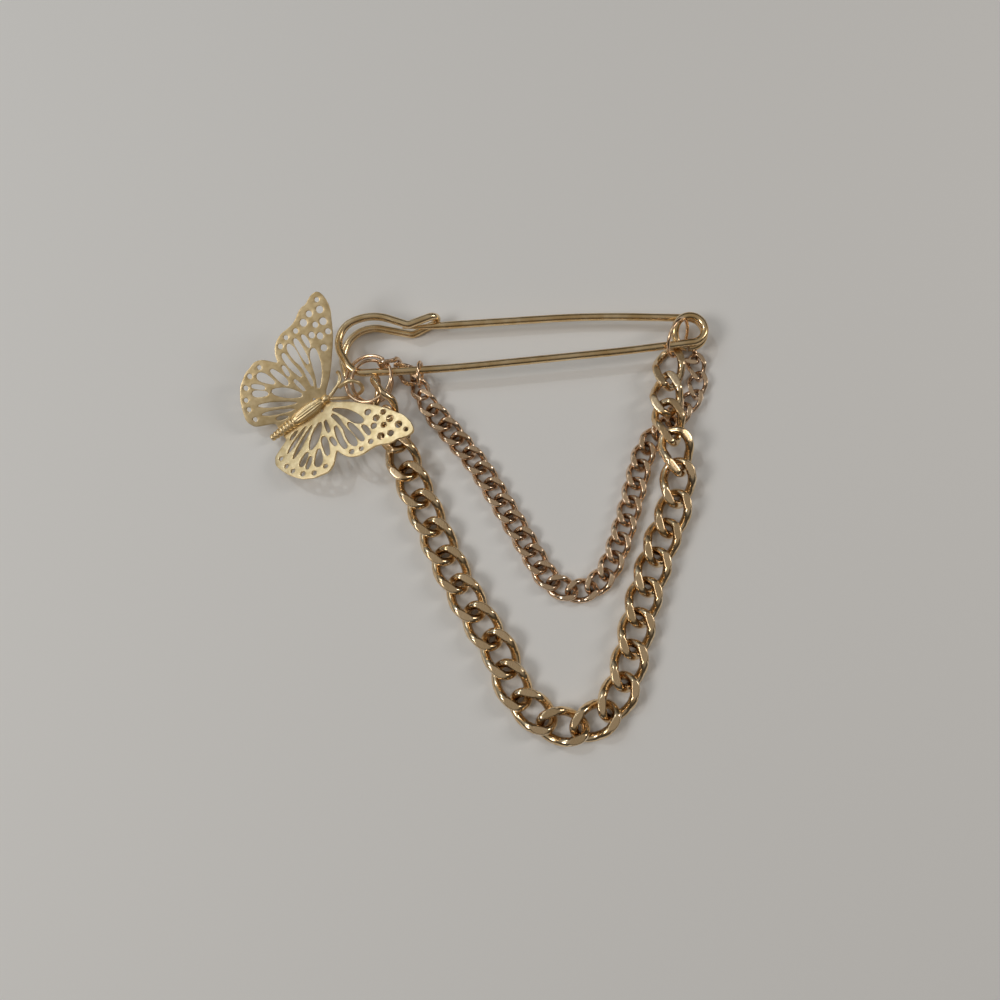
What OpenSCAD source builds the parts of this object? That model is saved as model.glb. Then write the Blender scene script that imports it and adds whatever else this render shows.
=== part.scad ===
/* [Pin wire] */
// Diameter of the pin wire
wire_d = 1.5; // [1.4:0.02:1.56]
// Free height between wires that cross
wire_gap = 0.15; // [0.12:0.01:0.2]
// Length of the back wire from the catch corner to the coil, along X
back_len = 65.85; // [60:0.05:75]
// Rise of the back wire from the catch corner to the coil, along Y
back_rise = 6.48; // [6:0.02:7]
// Centre-line radius of the coil's upper turn
coil_r = 2.8; // [2.75:0.05:3.2]
// How much wider the coil's lower turn is, in radius
coil_step = 0.35; // [0.3:0.05:0.5]
// Free slit between the coil's two halves
coil_slit = 0.35; // [0.3:0.05:0.5]

/* [Catch] */
// Length of the catch loop from its corner to its lip
catch_l = 16; // [15.5:0.5:18]
// Width of the catch loop
catch_w = 12.5; // [12:0.25:14]
// Sideways lean of the lip's bend
lip_lean = 0.3; // [0:0.05:0.5]
// How far the pin's point reaches past the notch
point_reach = 1.3; // [0.8:0.1:2]
// Length of the pin's point
point_l = 9.8; // [8:0.2:12]

/* [Jump rings] */
// Wire diameter of the jump rings
ring_d = 0.66; // [0.6:0.02:0.7]
// Centre-line radius of the ring that holds the chains
chain_ring_r = 4.77; // [4.7:0.01:4.9]
// Centre-line radius of the ring that holds the butterfly
butterfly_ring_r = 4.11; // [4.08:0.01:4.2]
// Centre-line radius of the small ring on the back wire
keeper_r = 2.35; // [2.2:0.05:2.5]
// Centre-line radius of the ring on the coil
coil_ring_r = 3.71; // [3.65:0.01:3.8]
// Width of the saw cut in each ring
ring_cut = 0.2; // [0.1:0.05:0.4]

/* [Large chain] */
// Length of a large link
large_l = 9.7; // [9.5:0.05:9.8]
// Width of a large link before its flats are cut
large_w = 6.5; // [6.4:0.05:6.6]
// Wire of a large link
large_d = 1.5; // [1.3:0.05:1.55]
// Thickness of a large link over its flats
large_h = 2.6; // [2.2:0.1:2.8]
// Pitch of the large chain
large_pitch = 5.95; // [5.9:0.05:6]

/* [Small chain] */
// Length of a small link
small_l = 6.05; // [5.9:0.05:6.1]
// Width of a small link before its flats are cut
small_w = 4; // [3.9:0.05:4.1]
// Wire of a small link
small_d = 0.84; // [0.8:0.02:0.9]
// Thickness of a small link over its flats
small_h = 1.6; // [1.4:0.1:1.8]
// Pitch of the small chain
small_pitch = 3.75; // [3.7:0.05:3.8]

/* [Butterfly] */
// Length of a wing along the body
wing_l = 26.4; // [24:0.2:28]
// Reach of a wing from the body
wing_w = 17.2; // [16:0.2:18]
// Thickness of the pierced sheet
sheet_t = 0.5; // [0.4:0.05:0.8]
// Length of the body
body_l = 14; // [13:0.25:15]
// Thickest diameter of the body
body_d = 2.6; // [2.2:0.1:2.8]
// Thickness of the antennae
antenna_d = 0.7; // [0.5:0.05:0.8]
// Rise of the right wing in degrees
right_rise = 12.8; // [10:0.2:14]
// Rise of the left wing in degrees
left_rise = 22.3; // [20:0.1:24]

/* [Hidden] */
$fn = 48;

wire_r = wire_d / 2;
low_z = wire_r;
arm_z = low_z + wire_d + wire_gap;
top_z = arm_z + wire_d + wire_gap;

// Plan places, measured from the catch corner
corner = [-24.3, 27.8];
// The back wire leaves the coil at this polar angle
leave_a = -82;
coil = corner + [back_len, back_rise - coil_r * sin(leave_a)];
// The upper turn runs level up to here and then drops to the lower turn
drop_a = 150;
drop_end_a = 262;

// Corners of the back wire from the catch to the coil: shares of its length and rise, bend radius
BACK = [[0.266, 0.14, 300], [0.797, 0.71, 200]];
// Corners of the catch's upper wire: shares of its length and width, bend radius
CATCH_TOP = [[0, 0, 4], [-0.222, 0.472, 5], [-0.128, 0.805, 4.5], [0.192, 1.01, 9], [0.653, 0.81, 1.5]];
LIP = [0.895, 0.937];
// The same for the catch's lower wire, from the lip back to its cut end
CATCH_LOW = [[0.688, 0.764, 1.5], [0.085, 0.92, 6], [-0.119, 0.64, 5], [-0.188, 0.352, 6]];
LOW_END = [-0.112, 0.04];

function catch_at(p) = corner + [p[0] * catch_l, p[1] * catch_w];
function unit(v) = v / norm(v);
function polar(r, a) = r * [cos(a), sin(a)];
function turn(a) = a > 180 ? a - 360 : a < -180 ? a + 360 : a;

leave_at = coil + polar(coil_r, leave_a);
lip = catch_at(LIP);
notch = catch_at(CATCH_TOP[4]);
lip_way = unit(lip - notch);
lip_low = lip + lip_lean * [lip_way[1], -lip_way[0]];
low_r = coil_r + coil_step;
slit_a = coil_slit / low_r * 180 / PI;
arm_a = 88.8;
full_turn_a = 360;
arm_start = coil + polar(low_r, arm_a);
// The sprung wire bows a little: it leaves the coil along this stretch and then runs to its point
bow_l = 19.4;
bow_r = 200;
bow_bend_l = 10;
bow_at = arm_start + polar(bow_l, arm_a + 90);
arm_tip = notch + [-point_reach, 0.1];

// Points of a level wire through corners [x, y, bend radius]; its two ends have no bend
bend_steps = 5;
function level_wire(path, z) =
    let (n = len(path), at = [for (p = path) [p[0], p[1]]])
    [for (i = [0:n - 1])
        each i == 0 || i == n - 1 ? [[at[i][0], at[i][1], z]] :
            let (
                back = unit(at[i - 1] - at[i]),
                ahead = unit(at[i + 1] - at[i]),
                half = acos(back * ahead) / 2,
                bend = path[i][2],
                hub = at[i] + unit(back + ahead) * bend / sin(half),
                p = at[i] + back * bend / tan(half) - hub,
                q = at[i] + ahead * bend / tan(half) - hub,
                a = atan2(p[1], p[0]),
                swing = turn(atan2(q[1], q[0]) - a)
            )
            [for (k = [0:bend_steps])
                let (c = hub + polar(bend, a + swing * k / bend_steps))
                [c[0], c[1], z]]];

// Points of a level turn about the coil's axis
function level_turn(r, from, to, z) =
    let (n = ceil(abs(to - from) / 13))
    [for (i = [0:n])
        let (c = coil + polar(r, from + (to - from) * i / n))
        [c[0], c[1], z]];

// Rings of points round a path in space, each standing square to it
function rings_on(path, r, m) =
    let (
        n = len(path),
        ways = [for (i = [0:n - 1]) unit(path[min(i + 1, n - 1)] - path[max(i - 1, 0)])],
        sides = [for (i = 0, s = unit(cross(ways[0], [0, 0, 1])); i < n;
            s = unit(s - (s * ways[min(i + 1, n - 1)]) * ways[min(i + 1, n - 1)]), i = i + 1) s]
    )
    [for (i = [0:n - 1])
        let (up = cross(sides[i], ways[i]))
        [for (j = [0:m - 1])
            path[i] + r * (cos(j * 360 / m) * sides[i] + sin(j * 360 / m) * up)]];

// A closed skin over rings of points, with flat ends
module skin(rings) {
    m = len(rings[0]);
    n = len(rings);
    walls = [for (i = [0:n - 2], j = [0:m - 1])
        let (
            p = i * m + j,
            q = i * m + (j + 1) % m
        )
        each [[p, q + m, p + m], [p, q, q + m]]];
    first = [for (j = [m - 1:-1:0]) j];
    last = [for (j = [0:m - 1]) (n - 1) * m + j];
    polyhedron([for (ring = rings) each ring], concat(walls, [first], [last]));
}

function ease(t) = t * t * (3 - 2 * t);

wire_sides = 10;
// The coil's wire on its way from the upper turn down to the lower one
drop_steps = 10;
drop_level_a = 240;
drop_path = [for (i = [0:drop_steps])
    let (
        a = drop_a + (drop_end_a - drop_a) * i / drop_steps,
        t = min(1, (a - drop_a) / (drop_level_a - drop_a)),
        p = coil + polar(coil_r + coil_step * ease(t), a)
    )
    [p[0], p[1], top_z + (arm_z - top_z) * ease(t)]];

// The upright half turn that joins the catch's two wires at its lip
lip_steps = 10;
lip_top = [lip[0], lip[1], top_z];
lip_foot = [lip_low[0], lip_low[1], low_z];
lip_path = [for (i = [1:lip_steps - 1])
    let (
        a = 180 * i / lip_steps,
        way = [lip_way[0], lip_way[1], 0]
    )
    (lip_top + lip_foot) / 2 + cos(a) * (lip_top - lip_foot) / 2 + sin(a) * norm(lip_top - lip_foot) / 2 * way];

module pin_spine() {
    back_wire = [for (b = [BACK[1], BACK[0]])
        [corner[0] + b[0] * back_len, corner[1] + b[1] * back_rise, b[2]]];
    top_wire = [for (c = CATCH_TOP) [catch_at(c)[0], catch_at(c)[1], c[2]]];
    low_wire = [for (c = CATCH_LOW) [catch_at(c)[0], catch_at(c)[1], c[2]]];
    route = concat(
        [for (i = [drop_steps:-1:1]) drop_path[i]],
        level_turn(coil_r, drop_a, leave_a, top_z),
        [for (p = level_wire(concat([leave_at], back_wire, top_wire, [lip]), top_z)) if (p[0] != leave_at[0]) p],
        lip_path,
        level_wire(concat([lip_low], low_wire, [catch_at(LOW_END)]), low_z));
    color([0.78, 0.66, 0.45])
        skin(rings_on(route, wire_r, wire_sides));
}

// The sprung wire: its lower turn and bow are one skin, let into the straight pin
pin_let_in = 0.5;
skin_inset = 0.005;

module pin_arm() {
    run = unit(arm_tip - bow_at);
    shaft_at = bow_at + run * bow_bend_l;
    shaft_l = norm(arm_tip - shaft_at);
    point_end_r = 0.12;
    start = drop_end_a + slit_a;
    route = concat(
        level_turn(low_r, start, full_turn_a + arm_a, arm_z),
        [for (p = level_wire([arm_start, [bow_at[0], bow_at[1], bow_r], shaft_at + run * pin_let_in], arm_z))
            if (p[0] != arm_start[0]) p]);
    color([0.78, 0.66, 0.45]) {
        skin(rings_on(route, wire_r - skin_inset, wire_sides));
        translate([shaft_at[0], shaft_at[1], arm_z])
            rotate([0, 90, atan2(run[1], run[0])])
                rotate_extrude()
                    polygon([[0, 0], [wire_r, 0], [wire_r, shaft_l - point_l], [point_end_r, shaft_l],
                             [0, shaft_l]]);
    }
}

// A sawn jump ring: its middle, the way its hole faces, its radius and where it is cut
module jump_ring(middle, facing, r, cut_a) {
    gap_a = ring_cut / r * 180 / PI;
    color([0.9, 0.75, 0.62])
        translate(middle)
            rotate([0, acos(facing[2] / norm(facing)), atan2(facing[1], facing[0])])
                rotate_extrude(start = cut_a + gap_a / 2, angle = 360 - gap_a)
                    translate([r, 0])
                        circle(d = ring_d);
}

// A ring that crosses the back wire leans in step with the height that it climbs
climb = (wire_r + ring_d / 2 + wire_gap) / 1.275;
// Middles of the rings, from the catch corner or the coil and from the upper wire
chain_ring_at = [3, -1.1, 0];
butterfly_ring_at = [3.6, -1.25, -1.2 * climb];
keeper_at = [12.9, 0.2, -1];
coil_ring_at = [-2.54, -1.82, 0.03];
// The way that each ring's hole faces
chain_ring_facing = [-0.303 * climb, 0.03, 1];
butterfly_ring_facing = [0.63 * climb, -0.45 * climb, 1];
keeper_facing = [1, -0.04, 0.07];
coil_ring_facing = [0.763, -0.446, 0.469];
// The angle of each ring's saw cut
chain_ring_cut_a = 258;
butterfly_ring_cut_a = 200;
keeper_cut_a = 90;
coil_ring_cut_a = 30;

function from_place(base, step) = [base[0] + step[0], base[1] + step[1], top_z + step[2]];

module ring_chain() {
    jump_ring(from_place(corner, chain_ring_at), chain_ring_facing, chain_ring_r, chain_ring_cut_a);
}

module ring_butterfly() {
    jump_ring(from_place(corner, butterfly_ring_at), butterfly_ring_facing, butterfly_ring_r,
              butterfly_ring_cut_a);
}

module ring_keeper() {
    jump_ring(from_place(corner, keeper_at), keeper_facing, keeper_r, keeper_cut_a);
}

module ring_coil() {
    jump_ring(from_place(coil, coil_ring_at), coil_ring_facing, coil_ring_r, coil_ring_cut_a);
}

// Chosen points of the chains' ways: x, y, z and the roll of the link there
LARGE_WAY = [
    [-18.46, 22.48, 3.96, 58], [-16.6, 17.19, 2.38, 32], [-14.4, 11.1, 1.73, 10],
    [-9.4, -0.2, 1.36, 0], [-4.1, -11.5, 1.36, 0], [1.2, -20.6, 1.36, 0], [4.4, -25.6, 1.36, 0],
    [6.3, -30.6, 1.36, 0], [9.6, -34.9, 1.36, 0], [14.4, -37.8, 1.36, 0], [20, -37.6, 1.36, 0],
    [24.6, -34, 1.36, 0], [27.2, -28.4, 1.36, 0], [30.4, -16.6, 1.36, 0], [34.2, -5.5, 1.36, 0],
    [36.63, 0, 1.5, -5], [37.9, 5.98, 2.1, 0], [37.85, 11.68, 3.4, 9], [36.59, 17.77, 3.68, 8],
    [36.43, 23.89, 3.05, -17], [37.31, 29.66, 2.12, -5]];
SMALL_WAY = [
    [-16.94, 29.6, 3.7, 56], [-15.87, 29.7, 2.37, 37], [-12.76, 27.46, 1.65, 41],
    [-11.11, 24.56, 1.56, 24], [-9.08, 21.29, 1.06, 10], [-4.4, 15.7, 0.85, 0],
    [0.3, 9.7, 0.85, 0], [4.4, 3, 0.85, 0], [8.4, -3.7, 0.85, 0], [10.4, -7.2, 0.85, 0],
    [12.6, -10.8, 0.85, 0], [15.4, -13.2, 0.85, 0], [19, -13.9, 0.85, 0], [22.4, -12.4, 0.85, 0],
    [24.8, -9.3, 0.85, 0], [26.4, -5.6, 0.85, 0], [28.7, 1.3, 0.85, 0], [30.8, 8.7, 0.87, 0],
    [31.9, 12.3, 0.85, 0], [34.1, 15.8, 0.85, 0], [37, 18.4, 0.87, 0], [39.44, 21.01, 0.97, -6],
    [42.01, 23.87, 1.06, 0], [43.2, 27.55, 0.98, 3], [42.83, 32.12, 0.95, 6],
    [41.51, 33.27, 0.93, -4]];

// A smooth way through the chosen points
way_steps = 12;
function smooth(p) = [for (i = [0:len(p) - 2], k = [0:way_steps - (i == len(p) - 2 ? 0 : 1)])
    let (
        t = k / way_steps,
        a = p[max(i - 1, 0)],
        b = p[i],
        c = p[i + 1],
        d = p[min(i + 2, len(p) - 1)]
    )
    (2 * b + (c - a) * t + (2 * a - 5 * b + 4 * c - d) * t * t + (3 * b - a - 3 * c + d) * t * t * t) / 2];

function place(p) = [p[0], p[1], p[2]];
function run_lengths(d) = [for (i = 0, s = 0; i < len(d);
    s = s + norm(place(d[min(i + 1, len(d) - 1)]) - place(d[i])), i = i + 1) s];

// Twisted oval of a curb link: how full its sides are, how early it twists and by how much
link_full = 0.8;
link_early = 0.7;
link_twist = 50;
link_rounds = 16;
link_sides = 6;

function fuller(v) = sign(v) * pow(abs(v), link_full);
function link_middle(a, l, w) =
    let (
        x = l * fuller(cos(a)),
        y = w * fuller(sin(a)),
        t = -link_twist * sign(x) * pow(abs(x) / l, link_early)
    )
    [x, y * cos(t), y * sin(t)];

// Rings of points round one closed link of wire, with its two faces cut flat
function link_rings(length, width, d, h) = [for (i = [0:link_rounds - 1])
    let (
        l = (length - d) / 2,
        w = (width - d) / 2,
        a = (i + 0.5) * 360 / link_rounds,
        mid = link_middle(a, l, w),
        way = unit(link_middle(a + 4, l, w) - link_middle(a - 4, l, w)),
        side = unit(cross(way, [0, 0, 1])),
        up = cross(side, way)
    )
    each [for (j = [0:link_sides - 1])
        let (p = mid + d / 2 * (cos(j * 360 / link_sides) * side + sin(j * 360 / link_sides) * up))
        [p[0], p[1], max(-h / 2, min(h / 2, p[2]))]]];

// Links at an even pitch along a way, all in one skin
module curb_chain(way, pitch, length, width, d, h) {
    dense = smooth(way);
    runs = run_lengths(dense);
    total = runs[len(runs) - 1];
    count = round(total / pitch);
    step = total / count;
    tables = [for (k = [0:3]) [for (i = [0:len(dense) - 1]) [runs[i], dense[i][k]]]];
    shape = link_rings(length, width, d, h);
    points = [for (i = [0:count])
        let (
            here = [for (k = [0:2]) lookup(i * step, tables[k])],
            roll = lookup(i * step, tables[3]),
            tail = [for (k = [0:2]) lookup((i - 0.5) * step, tables[k])],
            nose = [for (k = [0:2]) lookup((i + 0.5) * step, tables[k])],
            ahead = unit(nose - tail),
            left = unit(cross([0, 0, 1], ahead)),
            up = cross(ahead, left),
            across = cos(roll) * left + sin(roll) * up,
            over = cos(roll) * up - sin(roll) * left
        )
        each [for (p = shape) here + p[0] * ahead + p[1] * across + p[2] * over]];
    n = link_rounds;
    m = link_sides;
    faces = [for (k = [0:count], i = [0:n - 1], j = [0:m - 1])
        let (
            base = k * n * m,
            p = base + i * m + j,
            q = base + (i + 1) % n * m + j,
            r = base + (i + 1) % n * m + (j + 1) % m,
            s = base + i * m + (j + 1) % m
        )
        each [[p, r, q], [p, s, r]]];
    polyhedron(points, faces);
}

module outer_chain() {
    color([0.87, 0.7, 0.35])
        curb_chain(LARGE_WAY, large_pitch, large_l, large_w, large_d, large_h);
}

module inner_chain() {
    color([0.72, 0.53, 0.36])
        curb_chain(SMALL_WAY, small_pitch, small_l, small_w, small_d, small_h);
}

// The butterfly lies with its head at this place from the corner, this heading and this pitch
fly_from_corner = [-4.45, -4.9];
fly_z = 3.5;
fly_at = [corner[0] + fly_from_corner[0], corner[1] + fly_from_corner[1], fly_z];
fly_heading = 33.9;
fly_pitch = 11.2;
// Outline of a wing, from the head: percent of its length and reach
WING = [
    [0, 7], [8.5, 16.5], [15.5, 26.5], [21, 36], [27.5, 46.5], [32.5, 57], [36.5, 67.5], [40, 75.5],
    [41.5, 85], [41.5, 93], [40, 99], [36, 100], [32, 98.5], [27.5, 95], [23.5, 95.5], [19.5, 93],
    [16, 89.5], [11, 86.5], [6, 86], [1, 86], [-4, 83.5], [-8.5, 79], [-11.5, 72.5], [-13, 67],
    [-13.5, 63], [-16.5, 67.5], [-20, 74], [-23.5, 77.5], [-27.5, 79], [-32.5, 76.5], [-37.5, 75],
    [-41.5, 71], [-46, 67], [-49.5, 60.5], [-52.5, 54.5], [-55, 47], [-57, 40], [-58.5, 32.5],
    [-57.5, 27.5], [-56, 22.5], [-51, 18.5], [-44, 14], [-42.5, 11]];
// The pierced cells, each a closed line of the same shares
CELLS = [
    [[-3, 13.5], [6, 25.5], [11, 37.5], [14, 51], [12, 53.5], [8, 48.5], [5, 37], [2, 25.5]],
    [[-4.5, 19], [-1, 29.5], [-1, 44], [2, 62], [1.2, 71.5], [-0.7, 72], [-2.7, 66], [-2.7, 54.5],
    [-1, 44.5], [-3, 31]],
    [[3, 41], [6, 51.5], [7.5, 70.5], [6, 73], [4.5, 68.5], [3, 53.5]],
    [[-6, 34], [-5.5, 46.5], [-6.5, 57], [-6, 67.5], [-8, 67], [-9, 60], [-8.5, 47.5]],
    [[11, 55.5], [13, 60.5], [13.5, 68.5], [12, 72], [11, 65]],
    [[-12.5, 18], [-19.5, 36], [-30, 44.5], [-29.5, 37.5], [-22.5, 26]],
    [[-10, 20], [-11, 37.5], [-12.5, 38], [-12, 28]],
    [[-17.5, 38], [-16, 44.5], [-19.5, 61], [-22, 61], [-20, 41.5]],
    [[-12.5, 44.5], [-11.5, 56], [-13, 57.5], [-14, 47]],
    [[-24, 47], [-26, 62.5], [-30.5, 67], [-33, 61.5], [-27.5, 51]],
    [[-33.5, 42], [-33.5, 46], [-41, 55], [-43, 49.5]],
    [[-33, 49], [-32.5, 52.5], [-38.5, 61], [-39.5, 58]]];
// Every cell is this much wider all round than its line
cell_grow = 0.13;
// Round holes: the same shares and their diameter
DOTS = [
    [19.5, 47, 1.3], [29, 58.5, 1.1], [22.5, 59.5, 1.3], [30.5, 70, 1.4], [18, 65.5, 1.2],
    [24.5, 72, 1.1], [33.5, 82, 1.4], [36, 92, 0.9], [25.5, 85, 1.2], [18.5, 81, 1.4], [10.5, 79, 1],
    [2, 79.5, 0.9], [-5, 75.5, 1], [-52.5, 29, 0.9], [-51.5, 41.5, 0.9], [-49, 51.5, 0.9],
    [-43.5, 62, 1], [-36, 69.5, 1], [-26.5, 71, 0.9], [-9.2, 8.5, 0.7]];
// Slits of the hind wing: root end and tip end in the same shares, and their width
SLITS = [[-31, 10, -41, 16.5, 0.9], [-23, 11.5, -48, 30, 1], [-18.5, 15, -46.5, 40.5, 1.1]];
// The body from its front: percent of its length and of its thickest diameter
BODY = [[0, 12], [2, 42], [5, 56], [8, 54], [10, 42], [12, 60], [16, 74], [22, 88], [23.5, 82],
        [25, 93], [31, 100], [32.5, 90], [34, 101], [41, 101], [42.5, 91], [44, 99], [50, 93],
        [52.5, 82], [54.5, 88], [58, 80], [61, 60]];
tail_from = 61;
tail_rings = 7;
tail_wide = 86;
tail_end = 50;
tail_groove = 0.78;
body_lift = 0.8;
body_front = 0.4;
// The wings start inside the body, a little off its axis
wing_root = 2;

function on_wing(p) = [p[0] * wing_l, p[1] * wing_w] / 100;
// One round of corner cutting
function softer(p) = [for (i = [0:len(p) - 1]) let (q = p[(i + 1) % len(p)])
    each [0.75 * p[i] + 0.25 * q, 0.25 * p[i] + 0.75 * q]];

module wing() {
    root = [[-42, wing_root], [0, wing_root]];
    translate([0, 0, -sheet_t / 2])
        linear_extrude(sheet_t)
            difference() {
                polygon([for (p = concat(softer(WING), root)) on_wing(p)]);
                for (cell = CELLS)
                    offset(delta = cell_grow)
                        polygon([for (p = softer(cell)) on_wing(p)]);
                for (s = SLITS)
                    slit(on_wing([s[0], s[1]]), on_wing([s[2], s[3]]), s[4]);
                for (dot = DOTS)
                    translate(on_wing(dot))
                        circle(d = dot[2]);
            }
}

// A narrow hole that runs to a point at both ends
module slit(from, to, w) {
    run = to - from;
    side = w / 2 * [-run[1], run[0]] / norm(run);
    polygon([from, from + run * 0.3 + side * 0.8, from + run * 0.75 + side, to,
             from + run * 0.75 - side, from + run * 0.3 - side * 0.8]);
}

module fly_body() {
    tail = [for (i = [0:tail_rings - 1], k = [0:2])
        let (
            t = (i + [0.12, 0.55, 0.98][k]) / tail_rings,
            wide = tail_wide + (tail_end - tail_wide) * t
        )
        [tail_from + (100 - tail_from) * t, wide * (k == 1 ? 1 : tail_groove)]];
    rows = concat(BODY, tail);
    profile = [for (r = rows) [r[1] * body_d / 200, body_front - r[0] * body_l / 100]];
    translate([0, 0, body_lift])
        rotate([0, 90, 0])
            rotate_extrude()
                polygon(concat([[0, body_front]], profile, [[0, profile[len(profile) - 1][1]]]));
}

// The two antennae run to the ring; the right one closes an eye round it
LEFT_ANTENNA = [[-4.4, -5, -0.05], [-3.4, -3.4, 0.05], [-2.7, -2.4, 0.25], [-2.4, -1.1, 0.25],
                [-2.7, 0, 0.1], [-3.1, 0.3, 0]];
RIGHT_ANTENNA = [[-4.4, -5.1, -0.1], [-2.1, -4.5, -1.5], [-0.7, -4.1, -2], [0.5, -3.8, -1.8],
                 [1.8, -3.2, -0.8], [1.8, -2.6, 0.7], [0.6, -2.2, 1.7], [-0.9, -2.4, 1.6],
                 [-2.4, -3, 0.3]];

function antenna_path(p) = [for (q = smooth([for (c = p) [c[0], c[1], c[2], 0]]))
    [corner[0] + q[0], corner[1] + q[1], top_z + q[2]]];

module antenna(p) {
    path = antenna_path(p);
    skin(rings_on([for (i = [0:3:len(path) - 1]) path[i]], antenna_d / 2, 8));
}

module butterfly() {
    color([0.86, 0.76, 0.52]) {
        translate(fly_at)
            rotate([0, -fly_pitch, fly_heading]) {
                rotate([left_rise, 0, 0])
                    wing();
                mirror([0, 1, 0])
                    rotate([right_rise, 0, 0])
                        wing();
                fly_body();
            }
        antenna(LEFT_ANTENNA);
        antenna(RIGHT_ANTENNA);
    }
}

pin_spine();
pin_arm();
ring_chain();
ring_butterfly();
ring_keeper();
ring_coil();
outer_chain();
inner_chain();
butterfly();
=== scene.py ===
import math

import bmesh
import bpy
import numpy as np
from mathutils import Matrix, Vector


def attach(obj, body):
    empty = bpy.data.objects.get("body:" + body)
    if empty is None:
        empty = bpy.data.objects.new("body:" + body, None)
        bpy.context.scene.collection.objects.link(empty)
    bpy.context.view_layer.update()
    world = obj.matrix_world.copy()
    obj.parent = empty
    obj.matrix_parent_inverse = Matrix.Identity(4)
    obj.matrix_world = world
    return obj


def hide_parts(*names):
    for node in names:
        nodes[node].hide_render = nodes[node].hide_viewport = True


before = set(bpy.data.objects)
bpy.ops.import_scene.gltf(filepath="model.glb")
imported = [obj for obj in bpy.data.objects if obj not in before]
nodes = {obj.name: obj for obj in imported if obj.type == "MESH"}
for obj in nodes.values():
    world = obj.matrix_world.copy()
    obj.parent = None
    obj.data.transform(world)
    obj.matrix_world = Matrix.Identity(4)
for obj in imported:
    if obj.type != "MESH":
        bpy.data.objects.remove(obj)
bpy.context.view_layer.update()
millimetre = 0.001  # every size below is in millimetres, and meshes are made in metres

# Camera, floor and light

# What the photograph fixes: where the camera stood over the table, and its lens
view = {
    "cameraAt": (4.2, -27.1, 140.7),
    "aimedAt": (4.2, 3.6, 0.0),
    "lens": 27.0,
    "sensor": 36.0,
    "sees": (0.005, 10.0),  # metres
    "floorSize": 1600.0,
}


def makeCamera():
    lens = bpy.data.cameras.new("camera")
    lens.lens = view["lens"]
    lens.sensor_width = view["sensor"]
    lens.clip_start, lens.clip_end = view["sees"]
    camera = placed("camera", lens)
    camera.location = Vector(view["cameraAt"]) * millimetre
    towards = (Vector(view["aimedAt"]) - Vector(view["cameraAt"])).normalized()
    camera.rotation_euler = towards.to_track_quat("-Z", "Y").to_euler()
    bpy.context.scene.camera = camera


def makeFloor(material):
    half = view["floorSize"] / 2 * millimetre
    mesh = bpy.data.meshes.new("floor")
    mesh.from_pydata([(-half, -half, 0), (half, -half, 0), (half, half, 0), (-half, half, 0)], [],
                     [(0, 1, 2, 3)])
    mesh.materials.append(material)
    placed("floor", mesh)


studio = {
    "ceiling": (0.3, 0.28, 0.25),
    "walls": (0.06, 0.054, 0.047),
    "skirting": (0.035, 0.031, 0.027),
    "ceilingFrom": 0.9,
    "windowGlow": (0.39, 0.415, 0.44),
    "windowWay": (-0.66, 0.5, 0.56),
    "glowEdge": (0.72, 1.0),
    "glowMost": 0.8,
    "backdrop": (0.5, 0.49, 0.475),
    # place, size, watts and colour; each lamp looks at the middle of the table
    "lamps": {
        "window": ((-440, 330, 500), (260, 200), 0.28, (0.86, 0.95, 1.0)),
        "door": ((-520, -150, 500), (270, 210), 1.5, (1.0, 0.98, 0.95)),
        "spark": ((-300, 300, 520), (22, 22), 0.3, (0.88, 0.95, 1.0)),
        "sideFill": ((420, 120, 300), (80, 220), 0.42, (1.0, 0.96, 0.92)),
    },
}


def areaLight(name, place, size, power, colour):
    data = bpy.data.lights.new(name, "AREA")
    data.shape = "RECTANGLE"
    data.size, data.size_y = (s * millimetre for s in size)
    data.energy = power
    data.color = colour
    lamp = placed(name, data)
    lamp.location = Vector(place) * millimetre
    lamp.rotation_euler = (-Vector(place)).to_track_quat("-Z", "Y").to_euler()


# A room with a lit ceiling, dark walls and a glow round the window; the eye sees a plain backdrop
def makeRoom():
    world = bpy.data.worlds.new("studio")
    bpy.context.scene.world = world
    world.use_nodes = True
    tree = world.node_tree
    background = tree.nodes["Background"]
    background.inputs["Strength"].default_value = 1.0
    coords = tree.nodes.new("ShaderNodeTexCoord")
    split = tree.nodes.new("ShaderNodeSeparateXYZ")
    tree.links.new(coords.outputs["Generated"], split.inputs["Vector"])
    ramp = tree.nodes.new("ShaderNodeValToRGB")
    stops = ramp.color_ramp.elements
    stops[0].position, stops[0].color = 0.0, (*studio["skirting"], 1)
    stops[1].position, stops[1].color = studio["ceilingFrom"], (*studio["ceiling"], 1)
    middle = stops.new(0.5)  # the horizon
    middle.color = (*studio["walls"], 1)
    tree.links.new(split.outputs["Z"], ramp.inputs["Fac"])
    towards = tree.nodes.new("ShaderNodeVectorMath")
    towards.operation = "DOT_PRODUCT"
    towards.inputs[1].default_value = studio["windowWay"]
    tree.links.new(coords.outputs["Generated"], towards.inputs[0])
    glow = ranged(tree, towards.outputs["Value"], 0.0, studio["glowMost"], *studio["glowEdge"])
    room = mixColours(tree, glow, ramp.outputs["Color"], studio["windowGlow"])
    seen = tree.nodes.new("ShaderNodeLightPath")
    tree.links.new(mixColours(tree, seen.outputs["Is Camera Ray"], room, studio["backdrop"]),
                   background.inputs["Color"])


# Materials

# Noise seldom leaves these shares, so they count as its lowest and highest
cloudEnds = (0.35, 0.65)
grainEnds = (0.3, 0.7)


def newMaterial(name):
    material = bpy.data.materials.new(name)
    material.use_nodes = True
    return material, material.node_tree, material.node_tree.nodes["Principled BSDF"]


def addNode(tree, kind, **inputs):
    node = tree.nodes.new(kind)
    for key, value in inputs.items():
        node.inputs[key].default_value = value
    return node


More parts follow.
